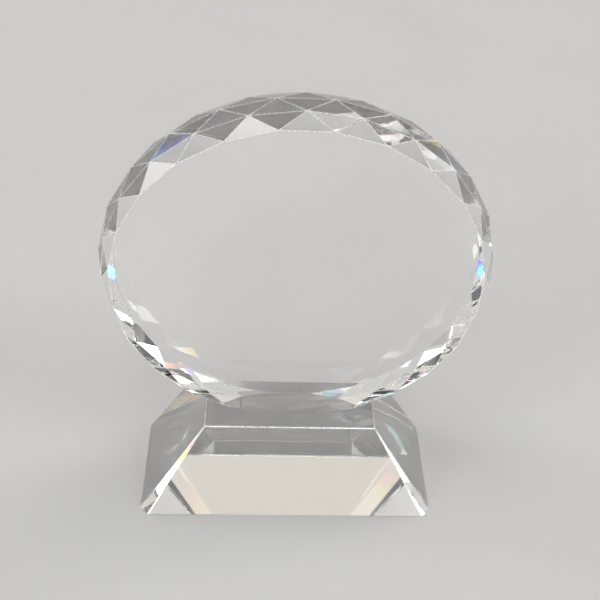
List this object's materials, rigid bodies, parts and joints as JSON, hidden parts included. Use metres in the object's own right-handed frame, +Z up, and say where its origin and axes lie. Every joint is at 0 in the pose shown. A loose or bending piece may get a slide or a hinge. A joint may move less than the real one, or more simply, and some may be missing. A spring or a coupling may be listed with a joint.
{
  "type": "crystal award",
  "caption": "Clear crystal award: a thick round plaque with a diamond-cut faceted edge, bonded upright on a clear block with sloping sides, for display on a desk or shelf.",
  "frame": {"origin": "middle of the block's underside, on the surface the award stands on", "axes": "+Z up, X along the block's length, the plaque's two round faces look along -Y and +Y"},
  "size_m": [0.1134, 0.042, 0.1488],
  "materials": {
    "base_crystal": "polished, colourless",
    "clear_adhesive": "clear cured film",
    "plaque_crystal": "polished, colourless"
  },
  "bodies": {
    "root": {"base_block": "base_crystal", "adhesive_film": "clear_adhesive", "faceted_plaque": "plaque_crystal"}
  },
  "joints": []
}
